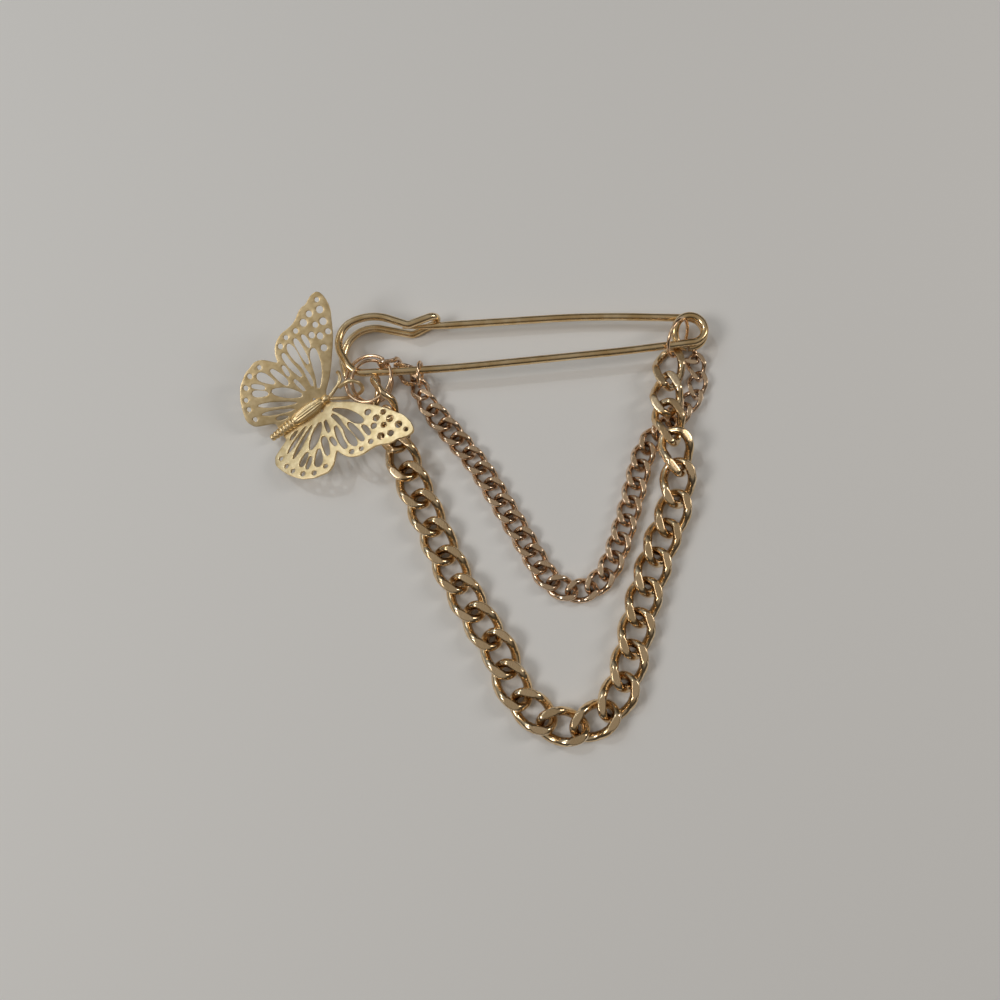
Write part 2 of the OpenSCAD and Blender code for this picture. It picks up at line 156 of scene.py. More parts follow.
def mixColours(tree, factor, first, second):
    node = tree.nodes.new("ShaderNodeMix")
    node.data_type = "RGBA"
    if isinstance(factor, float):
        node.inputs[0].default_value = factor
    else:
        tree.links.new(factor, node.inputs[0])
    for socket, value in ((node.inputs[6], first), (node.inputs[7], second)):
        if isinstance(value, tuple):
            socket.default_value = (*value, 1)
        else:
            tree.links.new(value, socket)
    return node.outputs[2]


def ranged(tree, value, low, high, fromLow=0.0, fromHigh=1.0):
    node = tree.nodes.new("ShaderNodeMapRange")
    node.inputs["From Min"].default_value = fromLow
    node.inputs["From Max"].default_value = fromHigh
    node.inputs["To Min"].default_value = low
    node.inputs["To Max"].default_value = high
    tree.links.new(value, node.inputs["Value"])
    return node.outputs["Result"]


# Noise whose patches are about so many millimetres wide
def noise(tree, size, detail):
    return addNode(tree, "ShaderNodeTexNoise", Scale=1 / (size * millimetre), Detail=detail)


# Plating in two tones, with clouds of wear and a fine grain
def platedMetal(name, light, dark, roughness, patchSize, grainSize, grainDepth):
    material, tree, shader = newMaterial(name)
    coords = tree.nodes.new("ShaderNodeTexCoord")
    patches, grain = noise(tree, patchSize, 3.0), noise(tree, grainSize, 4.0)
    for texture in (patches, grain):
        tree.links.new(coords.outputs["Object"], texture.inputs["Vector"])
    share = ranged(tree, patches.outputs["Fac"], 0.0, 1.0, *cloudEnds)
    tree.links.new(mixColours(tree, share, light, dark), shader.inputs["Base Color"])
    rough = ranged(tree, grain.outputs["Fac"], *roughness, *grainEnds)
    tree.links.new(rough, shader.inputs["Roughness"])
    bump = addNode(tree, "ShaderNodeBump", Strength=0.5, Distance=grainDepth * millimetre)
    tree.links.new(grain.outputs["Fac"], bump.inputs["Height"])
    tree.links.new(bump.outputs["Normal"], shader.inputs["Normal"])
    shader.inputs["Metallic"].default_value = 1.0
    return material


# Polished wire with cut flats: the mesh says where it is flat, which side faces its hole, and each
# link's tone; the side facing the hole is darkened with painted shade
def linkMetal(name, finish):
    material, tree, shader = newMaterial(name)
    coords = tree.nodes.new("ShaderNodeTexCoord")
    flat, inner, tone = (tree.nodes.new("ShaderNodeAttribute") for _ in range(3))
    flat.attribute_name = "flatShare"
    inner.attribute_name = "innerShare"
    tone.attribute_name = "linkTone"
    patches, scratch = noise(tree, brushing["patch"], 3.0), noise(tree, brushing["width"], 2.0)
    brush = tree.nodes.new("ShaderNodeMapping")
    brush.inputs["Scale"].default_value = (1.0, brushing["stretch"], 1.0)
    brush.inputs["Rotation"].default_value = (0, 0, math.radians(brushing["turn"]))
    tree.links.new(coords.outputs["Object"], patches.inputs["Vector"])
    tree.links.new(coords.outputs["Object"], brush.inputs["Vector"])
    tree.links.new(brush.outputs["Vector"], scratch.inputs["Vector"])
    share = ranged(tree, patches.outputs["Fac"], 0.0, 1.0, *cloudEnds)
    wire = mixColours(tree, share, finish["wireLight"], finish["wireDark"])
    # painted shade: the wire's colour darkens towards the side that faces the link's hole
    holeShade = ranged(tree, inner.outputs["Fac"], 0.0, brushing["holeShadeMost"])
    wire = mixColours(tree, holeShade, wire, finish["holeShade"])
    face = mixColours(tree, tone.outputs["Fac"], finish["flatLight"], finish["flatDark"])
    tree.links.new(mixColours(tree, flat.outputs["Fac"], wire, face), shader.inputs["Base Color"])
    rough = tree.nodes.new("ShaderNodeMix")
    tree.links.new(flat.outputs["Fac"], rough.inputs[0])
    shine = ranged(tree, patches.outputs["Fac"], *brushing["wireRoughness"], *grainEnds)
    satin = ranged(tree, scratch.outputs["Fac"], *brushing["flatRoughness"], *grainEnds)
    tree.links.new(shine, rough.inputs[2])
    tree.links.new(satin, rough.inputs[3])
    tree.links.new(rough.outputs[0], shader.inputs["Roughness"])
    bump = addNode(tree, "ShaderNodeBump", Strength=0.3, Distance=brushing["depth"] * millimetre)
    tree.links.new(scratch.outputs["Fac"], bump.inputs["Height"])
    tree.links.new(bump.outputs["Normal"], shader.inputs["Normal"])
    shader.inputs["Metallic"].default_value = 1.0
    return material


# Name: light and dark tone, roughness from and to, patch size, grain size, grain depth
plating = {
    "pinGold": ((0.94, 0.74, 0.46), (0.74, 0.52, 0.26), (0.14, 0.27), 3.0, 0.12, 0.004),
    "ringGold": ((0.88, 0.64, 0.43), (0.76, 0.52, 0.33), (0.13, 0.25), 2.0, 0.12, 0.003),
    "wingGold": ((0.86, 0.69, 0.42), (0.7, 0.53, 0.28), (0.34, 0.5), 1.4, 0.16, 0.01),
    "bodyGold": ((0.92, 0.75, 0.46), (0.82, 0.62, 0.34), (0.34, 0.48), 2.0, 0.14, 0.01),
}
# Each finish ends with the colour of the painted shade on the wire's side that faces the hole
linkFinish = {
    "chainGold": {
        "wireLight": (0.94, 0.76, 0.52), "wireDark": (0.76, 0.53, 0.28),
        "flatLight": (0.88, 0.67, 0.43), "flatDark": (0.7, 0.51, 0.3),
        "holeShade": (0.34, 0.2, 0.08)},
    "chainRose": {
        "wireLight": (0.91, 0.72, 0.55), "wireDark": (0.68, 0.47, 0.3),
        "flatLight": (0.86, 0.65, 0.45), "flatDark": (0.68, 0.49, 0.32),
        "holeShade": (0.36, 0.22, 0.12)},
}
# Of both chains: patches and scratches in millimetres, and the way the flats were brushed
brushing = {
    "patch": 1.8,
    "width": 0.3,
    "stretch": 0.2,
    "turn": 62.0,
    "depth": 0.003,
    # how strongly the painted shade darkens the side facing the hole
    "holeShadeMost": 0.85,
    "wireRoughness": (0.12, 0.22),
    "flatRoughness": (0.2, 0.3),
}
paleFloor = {"colour": (0.84, 0.825, 0.805), "roughness": 0.75}


def makeMaterials():
    made = {name: platedMetal(name, *values) for name, values in plating.items()}
    for name, finish in linkFinish.items():
        made[name] = linkMetal(name, finish)
    made["paleFloor"], _, shader = newMaterial("paleFloor")
    shader.inputs["Base Color"].default_value = (*paleFloor["colour"], 1)
    shader.inputs["Roughness"].default_value = paleFloor["roughness"]
    print(len(made), "materials made")
    return made


# Shared mesh code

# An object for a mesh or curve, in the place that its points give
def placed(name, mesh):
    item = bpy.data.objects.new(name, mesh)
    bpy.context.scene.collection.objects.link(item)
    return item


# A finished piece: the body that it rides on and the node that it stands for, which is hidden
def finishPiece(item, body, node):
    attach(item, body)
    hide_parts(node)


wireSharpAngle = 40.0


# Smooth wire of a piece, from points in millimetres
def wirePiece(name, points, faces, material):
    mesh = bpy.data.meshes.new(name)
    mesh.from_pydata([tuple(float(c) * millimetre for c in p) for p in points], [], faces)
    mesh.validate()
    mesh.shade_smooth()
    mesh.set_sharp_from_angle(angle=math.radians(wireSharpAngle))
    mesh.materials.append(material)
    return placed(name, mesh)


def unit(v):
    v = np.asarray(v, float)
    return v / np.linalg.norm(v)


def polar(radius, degrees):
    return radius * np.array([math.cos(math.radians(degrees)), math.sin(math.radians(degrees))])


# The holder's evaluated shape as a plain mesh; the holder and its modifier go
def evaluatedMesh(holder, name):
    graph = bpy.context.evaluated_depsgraph_get()
    mesh = bpy.data.meshes.new_from_object(holder.evaluated_get(graph))
    mesh.name = name
    bpy.data.objects.remove(holder)
    return mesh


# Rings square to a path in space, each with its own radius, and a fan over both ends
def sweep(path, radii, sides):
    path = np.asarray(path, float)
    ways = np.array([unit(path[min(i + 1, len(path) - 1)] - path[max(i - 1, 0)])
                     for i in range(len(path))])
    side = unit(np.cross(ways[0], (0, 0, 1)) if abs(ways[0][2]) < 0.9 else (1, 0, 0))
    angles = np.linspace(0, 2 * math.pi, sides, endpoint=False)
    points, faces = [], []
    for i, (middle, way) in enumerate(zip(path, ways)):
        side = unit(side - side.dot(way) * way)
        up = np.cross(side, way)
        for a in angles:
            points.append(middle + radii[i] * (math.cos(a) * side + math.sin(a) * up))
    for i in range(len(path) - 1):
        for j in range(sides):
            k = (j + 1) % sides
            faces.append((i * sides + k, i * sides + j, (i + 1) * sides + j, (i + 1) * sides + k))
    first, last = len(points), len(points) + 1
    points += [path[0], path[-1]]
    end = (len(path) - 1) * sides
    for j in range(sides):
        k = (j + 1) % sides
        faces.append((first, j, k))
        faces.append((last, end + k, end + j))
    return points, faces


# The path and its radii, with both ends softened over the bevel's length
def rounded(path, radius, bevel):
    path = [np.asarray(p, float) for p in path]
    start, end = unit(path[1] - path[0]), unit(path[-2] - path[-1])
    steps = [(0.0, 1 - bevel / radius), (0.3 * bevel, 1 - 0.3 * bevel / radius), (bevel, 1.0)]
    head = [path[0] + s[0] * start for s in steps]
    tail = [path[-1] + s[0] * end for s in reversed(steps)]
    ends = [radius * s[1] for s in steps]
    return head + path[1:-1] + tail, ends + [radius] * (len(path) - 2) + ends[::-1]


# A smooth line through the points
def catmullRom(points, steps):
    points = [np.asarray(p, float) for p in points]
    out = []
    for i in range(len(points) - 1):
        a, b, c = points[max(i - 1, 0)], points[i], points[i + 1]
        d = points[min(i + 2, len(points) - 1)]
        for k in range(steps):
            t = k / steps
            out.append((2 * b + (c - a) * t + (2 * a - 5 * b + 4 * c - d) * t * t
                        + (3 * b - a - 3 * c + d) * t ** 3) / 2)
    return out + [points[-1]]


# The pin

# The pin is one wire; these are the sizes that its construction uses
pin = {
    "corner": (-24.3, 27.8),
    "wire": 1.5,
    "wireGap": 0.15,
    "backLength": 65.85,
    "backRise": 6.48,
    "coilRadius": 2.8,
    "coilStep": 0.35,
    "coilSlit": 0.35,
    "leaveAngle": -82.0,
    "armAngle": 88.8,
    "dropFrom": 150.0,
    "dropLevel": 240.0,
    "dropTo": 262.0,
    "catchLength": 16.0,
    "catchWidth": 12.5,
    "lipLean": 0.3,
    "pointReach": 1.3,
    "pointAside": 0.1,
    "pointLength": 9.8,
    "pointEnd": 0.12,
    "pointCurve": 1.5,
    "bowLength": 19.4,
    "bowRadius": 200.0,
    "endBevel": 0.15,
    "sides": 24,
    "bendSteps": 10,
    "turnStep": 5.0,  # degrees
    "dropSteps": 24,
    "lipSteps": 20,
    "pointSteps": 12,
    # shares of length and width or rise, then the radius of the bend
    "backBends": [(0.266, 0.14, 300), (0.797, 0.71, 200)],
    "catchTop": [(0, 0, 4), (-0.222, 0.472, 5), (-0.128, 0.805, 4.5), (0.192, 1.01, 9),
                 (0.653, 0.81, 1.5)],
    "lip": (0.895, 0.937),
    "catchLow": [(0.688, 0.764, 1.5), (0.085, 0.92, 6), (-0.119, 0.64, 5), (-0.188, 0.352, 6)],
    "lowEnd": (-0.112, 0.04),
}

corner = np.array(pin["corner"])
wireRadius = pin["wire"] / 2
lowHeight = wireRadius
armHeight = lowHeight + pin["wire"] + pin["wireGap"]
topHeight = armHeight + pin["wire"] + pin["wireGap"]
coil = corner + [pin["backLength"],
                 pin["backRise"] - pin["coilRadius"] * math.sin(math.radians(pin["leaveAngle"]))]
lowTurn = pin["coilRadius"] + pin["coilStep"]


def catchAt(share):
    return corner + [share[0] * pin["catchLength"], share[1] * pin["catchWidth"]]


# A level wire through its corners, each rounded by its own bend radius
def levelWire(bends, height):
    places = [np.array(b[:2], float) for b in bends]
    points = [(*places[0], height)]
    for i in range(1, len(places) - 1):
        back, ahead = unit(places[i - 1] - places[i]), unit(places[i + 1] - places[i])
        half = math.acos(np.clip(back.dot(ahead), -1, 1)) / 2
        bend = bends[i][2]
        hub = places[i] + unit(back + ahead) * bend / math.sin(half)
        p = places[i] + back * bend / math.tan(half) - hub
        q = places[i] + ahead * bend / math.tan(half) - hub
        start = math.degrees(math.atan2(p[1], p[0]))
        swing = (math.degrees(math.atan2(q[1], q[0])) - start + 180) % 360 - 180
        for k in range(pin["bendSteps"] + 1):
            points.append((*(hub + polar(bend, start + swing * k / pin["bendSteps"])), height))
    return points + [(*places[-1], height)]


def levelTurn(radius, start, end, height):
    count = math.ceil(abs(end - start) / pin["turnStep"])
    angles = [start + (end - start) * i / count for i in range(count + 1)]
    return [(*(coil + polar(radius, a)), height) for a in angles]


def ease(t):
    return t * t * (3 - 2 * t)


# From the coil's slit up round the upper turn, along the back, round the catch to its low end
def spinePath():
    lip, notch = catchAt(pin["lip"]), catchAt(pin["catchTop"][4])
    lipWay = unit(lip - notch)
    lipLow = lip + pin["lipLean"] * np.array([lipWay[1], -lipWay[0]])
    drop = []
    for i in range(pin["dropSteps"], 0, -1):
        angle = pin["dropFrom"] + (pin["dropTo"] - pin["dropFrom"]) * i / pin["dropSteps"]
        t = ease(min(1, (angle - pin["dropFrom"]) / (pin["dropLevel"] - pin["dropFrom"])))
        place = coil + polar(pin["coilRadius"] + pin["coilStep"] * t, angle)
        drop.append((*place, topHeight + (armHeight - topHeight) * t))
    turn = levelTurn(pin["coilRadius"], pin["dropFrom"], pin["leaveAngle"], topHeight)
    back = [(*(corner + [b[0] * pin["backLength"], b[1] * pin["backRise"]]), b[2])
            for b in reversed(pin["backBends"])]
    top = [(*catchAt(c), c[2]) for c in pin["catchTop"]]
    leave = coil + polar(pin["coilRadius"], pin["leaveAngle"])
    upper = levelWire([tuple(leave)] + back + top + [tuple(lip)], topHeight)
    high, low = np.array([*lip, topHeight]), np.array([*lipLow, lowHeight])
    reach = np.linalg.norm(high - low) / 2 * np.array([*lipWay, 0])
    lipTurn = [(high + low) / 2 + math.cos(a) * (high - low) / 2 + math.sin(a) * reach
               for a in (math.pi * i / pin["lipSteps"] for i in range(1, pin["lipSteps"]))]
    foot = [(*catchAt(c), c[2]) for c in pin["catchLow"]]
    lower = levelWire([tuple(lipLow)] + foot + [tuple(catchAt(pin["lowEnd"]))], lowHeight)
    return drop + turn + upper[1:] + lipTurn + lower


# The lower turn, the long bow and the taper to the point, with the wire's radius all along
def armPath():
    notch = catchAt(pin["catchTop"][4])
    start = coil + polar(lowTurn, pin["armAngle"])
    bow = start + polar(pin["bowLength"], pin["armAngle"] + 90)
    tip = notch + [-pin["pointReach"], pin["pointAside"]]
    slit = math.degrees(pin["coilSlit"] / lowTurn)
    turn = levelTurn(lowTurn, pin["dropTo"] + slit, 360 + pin["armAngle"], armHeight)
    run = unit(tip - bow)
    shoulder = tip - run * pin["pointLength"]
    shaft = levelWire([tuple(start), (*bow, pin["bowRadius"]), tuple(shoulder)], armHeight)
    path = turn + shaft[1:]
    radii = [wireRadius] * len(path)
    for k in range(1, pin["pointSteps"] + 1):
        share = k / pin["pointSteps"]
        path.append((*(tip - run * pin["pointLength"] * (1 - share)), armHeight))
        thinned = 1 - share ** pin["pointCurve"]
        radii.append(pin["pointEnd"] + (wireRadius - pin["pointEnd"]) * thinned)
    return path, radii


def makePin(material):
    path, radii = rounded(spinePath(), wireRadius, pin["endBevel"])
    spine = wirePiece("pinSpine", *sweep(path, radii, pin["sides"]), material)
    finishPiece(spine, "brooch", "pin_spine")
    path, radii = armPath()
    arm = wirePiece("pinArm", *sweep(path, radii, pin["sides"]), material)
    finishPiece(arm, "sprung_wire", "pin_arm")
    print("pin made")


# Jump rings: each one is read from its solid and drawn again in smooth wire

rings = {"wire": 0.67, "sides": 20, "turnSteps": 120, "cutBevel": 0.08}


# The points of a CAD node, in millimetres
def nodePoints(node):
    mesh = nodes[node].data
    points = np.empty(len(mesh.vertices) * 3)
    mesh.vertices.foreach_get("co", points)
    return points.reshape(-1, 3) / millimetre


# A ring's middle, its plane's two ways, its radius, and the angle and width of its cut
def ringOf(node):
    points = np.unique(nodePoints(node).round(4), axis=0)
    facing = np.linalg.svd(points - points.mean(0), full_matrices=False)[2][2]
    side = unit(np.cross(facing, (0, 0, 1)) if abs(facing[2]) < 0.99 else (1, 0, 0))
    across = np.cross(facing, side)
    flat = np.stack([points @ side, points @ across], 1)
    system = np.column_stack([2 * flat, np.ones(len(flat))])
    middle2d = np.linalg.lstsq(system, (flat ** 2).sum(1), rcond=None)[0][:2]
    away = flat - middle2d
    spread = np.linalg.norm(away, axis=1)
    radius = (spread.min() + spread.max()) / 2
    angles = np.sort(np.degrees(np.arctan2(away[:, 1], away[:, 0])))
    gaps = np.diff(np.append(angles, angles[0] + 360))
    widest = int(gaps.argmax())
    height = (points @ facing).mean()
    middle = middle2d[0] * side + middle2d[1] * across + height * facing
    return middle, side, across, radius, angles[widest], gaps[widest]


def makeRing(node, pieceName, material):
    middle, side, across, radius, cutFrom, cutWidth = ringOf(node)
    steps = np.linspace(cutFrom + cutWidth, cutFrom + 360, rings["turnSteps"])
    path = [middle + radius * (math.cos(a) * side + math.sin(a) * across)
            for a in np.radians(steps)]
    path, radii = rounded(path, rings["wire"] / 2, rings["cutBevel"])
    ring = wirePiece(pieceName, *sweep(path, radii, rings["sides"]), material)
    finishPiece(ring, "brooch", node)


# Curb chains: fine links, set by Geometry Nodes where each solid link lies

# The links near the catch and the coil, above the line given, are slimmer than the free ones
outerChain = {
    "node": "outer_chain",
    "material": "chainGold",
    "slot": "chain_gold",
    "size": 1.0,
    "crowdedAbove": 15.0,
    "toneSeed": 26,
    "free": {
        "length": 9.9, "width": 6.95, "wire": 1.66,
        "height": 2.7, "spare": 0.3, "twist": 41.0},
    "crowded": {
        "length": 9.75, "width": 6.5, "wire": 1.5,
        "height": 2.6, "spare": 0.1, "twist": 48.0},
}
innerChain = {
    "node": "inner_chain",
    "material": "chainRose",
    "slot": "chain_rose",
    "size": 1.0,
    "crowdedAbove": 21.0,
    "toneSeed": 32,
    "free": {
        "length": 6.45, "width": 4.75, "wire": 1.16,
        "height": 1.74, "spare": 0.24, "twist": 40.0},
    "crowded": {
        "length": 6.1, "width": 4.1, "wire": 0.88,
        "height": 1.6, "spare": 0.08, "twist": 48.0},
}
# Of every link: how full its oval is and how early it twists, the mesh round it, the flats' worn
# edges in degrees and shares of the wire's radius, and the unevenness of links that lie flat
linkShape = {
    "full": 0.8,
    "early": 0.7,
    "wayStep": 0.03,
    "rounds": 72,
    "backSides": 12,
    "leastFlat": 20.0,
    "wornEdge": 13.0,
    "wornFlat": 0.13,
    "wobble": 2.5,
    "wobbleSeed": 7,
    "lyingFlat": 0.97,
}


# The wire's middle line: a full oval whose ends are twisted against each other
def linkMiddle(angle, length, width, twist):
    x = length * math.copysign(abs(math.cos(angle)) ** linkShape["full"], math.cos(angle))
    y = width * math.copysign(abs(math.sin(angle)) ** linkShape["full"], math.sin(angle))
    turn = -math.radians(twist) * math.copysign((abs(x) / length) ** linkShape["early"], x)
    return np.array([x, y * math.cos(turn), y * math.sin(turn)])


# Round the wire from its top, in shares of its radius: across, up, and how much the place is flat
def wireSection(level):
    least, worn = math.radians(linkShape["leastFlat"]), math.radians(linkShape["wornEdge"])
    cutAngle = math.acos(min(1, max(-1, level)))
    half = max(cutAngle, least)
    share = ease(min(1, cutAngle / least))
    reach = math.sin(half) - linkShape["wornFlat"]
    inside, edge, outside = (np.array(c) for c in (
        (reach, min(level, math.sqrt(1 - reach ** 2))), (math.sin(half), math.cos(half)),
        (math.sin(half + worn), math.cos(half + worn))))
    right = [(0, min(level, 1), 1), (reach / 2, min(level, math.sqrt(1 - reach ** 2 / 4)), 1)]
    for t, isFlat in ((0, 1), (1 / 3, 0.5), (2 / 3, 0), (1, 0)):
        place = (1 - t) ** 2 * inside + 2 * t * (1 - t) * edge + t * t * outside
        right.append((*place, isFlat))
    left = [(-across, up, isFlat) for across, up, isFlat in right[:0:-1]]
    start, end = half + worn, 2 * math.pi - half - worn
    back = [(math.sin(a), math.cos(a), 0)
            for a in np.linspace(start, end, linkShape["backSides"] + 1)[1:-1]]
    section = []
    cut = right + back + left
    for j, (across, up, isFlat) in enumerate(cut):
        a = 2 * math.pi * j / len(cut)
        section.append((share * across + (1 - share) * math.sin(a),
                        share * up + (1 - share) * math.cos(a), share * isFlat))
    return section


# One closed link of wire with its two level cuts: the mesh follows each flat and its worn edges
def linkMesh(name, sizes):
    length = (sizes["length"] - sizes["wire"]) / 2
    width = (sizes["width"] - sizes["wire"]) / 2
    radius, rounds = sizes["wire"] / 2, linkShape["rounds"]
    build = bmesh.new()
    inner = build.verts.layers.float.new("innerShare")
    flat = build.verts.layers.float.new("flatShare")
    rows = []
    for i in range(rounds):
        angle = (i + 0.5) * 2 * math.pi / rounds
        middle, after, before = (linkMiddle(angle + d, length, width, sizes["twist"])
                                 for d in (0, linkShape["wayStep"], -linkShape["wayStep"]))
        way = unit(after - before)
        side = unit(np.cross(way, (0, 0, 1)))
        up = np.cross(side, way)
        upper = middle[2] > 0
        cutHeight = sizes["height"] / 2 + (sizes["spare"] if upper else 0)
        lean = 1 if upper else -1
        section = wireSection((cutHeight - abs(middle[2])) / (radius * up[2]))
        if not upper:
            section = section[len(section) // 2:] + section[:len(section) // 2]
        rows.append([])
        for across, high, isFlat in section:
            p = middle + radius * lean * (across * side + high * up)
            vert = build.verts.new(tuple(p * millimetre))
            # how much the place faces the hole, where the material paints shade
            vert[inner] = ease(min(1, max(0, -lean * across)))
            vert[flat] = isFlat
            rows[-1].append(vert)
    sides = len(rows[0])
    for i in range(rounds):
        ahead = rows[(i + 1) % rounds]
        for j in range(sides):
            k = (j + 1) % sides
            build.faces.new((rows[i][j], rows[i][k], ahead[k], ahead[j]))
    bmesh.ops.recalc_face_normals(build, faces=build.faces)
    for face in build.faces:
        face.smooth = True
    mesh = bpy.data.meshes.new(name)
    build.to_mesh(mesh)
    build.free()
    return mesh


# The middle and the turn of each loose link of a chain's node
def linkPlaces(node):
    mesh = nodes[node].data
    keys, index = np.unique(nodePoints(node).round(4), axis=0, return_inverse=True)
    index = index.reshape(-1)
    parent = np.arange(len(keys))

    def root(i):
        while parent[i] != i:
            parent[i] = parent[parent[i]]
            i = parent[i]
        return i

    for edge in mesh.edges:
        a, b = root(index[edge.vertices[0]]), root(index[edge.vertices[1]])
        if a != b:
            parent[b] = a
    groups = {}
    for i in range(len(keys)):
        groups.setdefault(root(i), []).append(keys[i])
    places = []
    dice = np.random.default_rng(linkShape["wobbleSeed"])
    for group in groups.values():  # its longest way, its next longest, and their square
        group = np.array(group)
        middle = group.mean(0)
        axes = np.linalg.svd(group - middle, full_matrices=False)[2]
        along, across = axes[0], axes[1]
        if np.cross(along, across)[2] < 0:
            across = -across
        turn = Matrix(np.column_stack([along, across, np.cross(along, across)]).tolist())
        swing = dice.uniform(-1, 1) * linkShape["wobble"] * (turn[2][2] > linkShape["lyingFlat"])
        wobble = Matrix.Rotation(math.radians(swing), 3, "X")
        places.append((middle, (turn @ wobble).to_euler()))
    return places


# Both kinds of link on the chain's points, made real and given their finish
def chainTree():
    tree = bpy.data.node_groups.new("chainOfLinks", "GeometryNodeTree")
    tree.interface.new_socket("Geometry", in_out="INPUT", socket_type="NodeSocketGeometry")
    inputs = {}
    for label, kind in (("Free Link", "Object"), ("Crowded Link", "Object"),
                        ("Link Size", "Float"), ("Finish", "Material")):
        socket = tree.interface.new_socket(label, in_out="INPUT", socket_type="NodeSocket" + kind)
        inputs[label] = socket.identifier
    tree.interface.new_socket("Geometry", in_out="OUTPUT", socket_type="NodeSocketGeometry")
    wires = tree.links
    start, end = tree.nodes.new("NodeGroupInput"), tree.nodes.new("NodeGroupOutput")
    turn = tree.nodes.new("GeometryNodeInputNamedAttribute")
    turn.data_type = "FLOAT_VECTOR"
    turn.inputs["Name"].default_value = "linkTurn"
    crowded = tree.nodes.new("GeometryNodeInputNamedAttribute")
    crowded.data_type = "BOOLEAN"
    crowded.inputs["Name"].default_value = "crowded"
    free = tree.nodes.new("FunctionNodeBooleanMath")
    free.operation = "NOT"
    wires.new(crowded.outputs["Attribute"], free.inputs[0])
    both = tree.nodes.new("GeometryNodeJoinGeometry")
    for label, chosen in (("Free Link", free.outputs[0]),
                          ("Crowded Link", crowded.outputs["Attribute"])):
        link = tree.nodes.new("GeometryNodeObjectInfo")
        spread = tree.nodes.new("GeometryNodeInstanceOnPoints")
        wires.new(start.outputs[label], link.inputs["Object"])
        wires.new(start.outputs["Geometry"], spread.inputs["Points"])
        wires.new(chosen, spread.inputs["Selection"])
        wires.new(link.outputs["Geometry"], spread.inputs["Instance"])
        wires.new(turn.outputs["Attribute"], spread.inputs["Rotation"])
        wires.new(start.outputs["Link Size"], spread.inputs["Scale"])
        wires.new(spread.outputs["Instances"], both.inputs[0])
    real = tree.nodes.new("GeometryNodeRealizeInstances")
    finish = tree.nodes.new("GeometryNodeSetMaterial")
    wires.new(both.outputs[0], real.inputs["Geometry"])
    wires.new(real.outputs["Geometry"], finish.inputs["Geometry"])
    wires.new(start.outputs["Finish"], finish.inputs["Material"])
    wires.new(finish.outputs["Geometry"], end.inputs["Geometry"])
    return tree, inputs


def makeChain(pieceName, settings, tree, inputs, materials):
    places = linkPlaces(settings["node"])
    seeds = bpy.data.meshes.new(pieceName + "Seeds")
    seeds.from_pydata([tuple(p[0] * millimetre) for p in places], [], [])
    turns = seeds.attributes.new("linkTurn", "FLOAT_VECTOR", "POINT")
    turns.data.foreach_set("vector", [c for p in places for c in p[1]])
    tones = seeds.attributes.new("linkTone", "FLOAT", "POINT")
    dice = np.random.default_rng(settings["toneSeed"])
    tones.data.foreach_set("value", dice.random(len(places)))
    crowded = seeds.attributes.new("crowded", "BOOLEAN", "POINT")
    crowded.data.foreach_set("value", [bool(p[0][1] > settings["crowdedAbove"]) for p in places])
    freeLink = placed("freeLink", linkMesh("freeLink", settings["free"]))
    crowdedLink = placed("crowdedLink", linkMesh("crowdedLink", settings["crowded"]))
    holder = placed(pieceName + "Seeds", seeds)
    modifier = holder.modifiers.new("links", "NODES")
    modifier.node_group = tree
    modifier[inputs["Free Link"]] = freeLink
    modifier[inputs["Crowded Link"]] = crowdedLink
    modifier[inputs["Link Size"]] = settings["size"]
    modifier[inputs["Finish"]] = materials[settings["material"]]
    chain = placed(pieceName, evaluatedMesh(holder, pieceName))
    bpy.data.objects.remove(freeLink)
    bpy.data.objects.remove(crowdedLink)
    finishPiece(chain, "brooch", settings["node"])
    print(pieceName, "made of", len(places), "links")


# The butterfly

butterfly = {
    "headFromCorner": (-4.45, -4.9),
    "headHeight": 3.5,
    "heading": 33.9,
    "pitch": 11.2,
    "wingLength": 26.4,
    "wingReach": 17.2,
    "sheet": 0.5,
    "edge": 0.09,
    "edgeSteps": 2,
    "weld": 0.0005,
    "leftRise": 22.3,
    "rightRise": 12.8,
    "bow": 0.35,
    "gridStep": 0.9,
    "bodyLength": 14.0,
    "bodyWide": 2.6,
    "bodyLift": 0.8,
    "bodyFront": 0.4,
    "grooves": 7,
    "grooveDepth": 0.1,
    "tailFrom": 0.61,
    "tailRings": 7,
    "antenna": 0.7,
    "antennaSides": 18,
    "antennaBevel": 0.1,
    "antennaSteps": 12,
    "cellGrow": 0.22,
    "dotSides": 20,
    "slitNear": (0.3, 0.8),  # share of its length, share of its width
    "slitFar": (0.75, 1.0),
    "gridAlong": (-16, 12),
    "gridReach": (0, 18),
    "bodySides": 84,
    "bodySteps": 4,
    "ribsFrom": 0.1,
    "ribsTo": 0.6,
    "ribsFade": 0.08,
    "tailWide": (0.86, 0.5),
    "tailWaist": 0.76,
    "tailSteps": (0.0, 0.12, 0.25, 0.4, 0.55, 0.7, 0.85, 0.97),
    "tailCurve": 0.7,
    "tailTip": 0.26,
    "sharpAngle": 38.0,
}

# The wing's outline from the head: percent of its length along the body and of its reach
wingOutline = [
    (-44, 2), (0, 2),
    (0, 7), (8.5, 16.5), (15.5, 26.5), (21, 36), (27.5, 46.5), (32.5, 57), (36.5, 67.5), (40, 75.5),
    (41.5, 85), (41.5, 93), (40, 99), (36, 100), (32, 98.5), (27.5, 95), (23.5, 95.5), (19.5, 93),
    (16, 89.5), (11, 86.5), (6, 86), (1, 86), (-4, 83.5), (-8.5, 79), (-11.5, 72.5), (-13, 67),
    (-13.5, 63), (-16.5, 67.5), (-20, 74), (-23.5, 77.5), (-27.5, 79), (-32.5, 76.5), (-37.5, 75),
    (-41.5, 71), (-46, 67), (-49.5, 60.5), (-52.5, 54.5), (-55, 47), (-57, 40), (-58.5, 32.5),
    (-57.5, 27.5), (-56, 22.5), (-51, 18.5), (-44, 14), (-42.5, 11)]
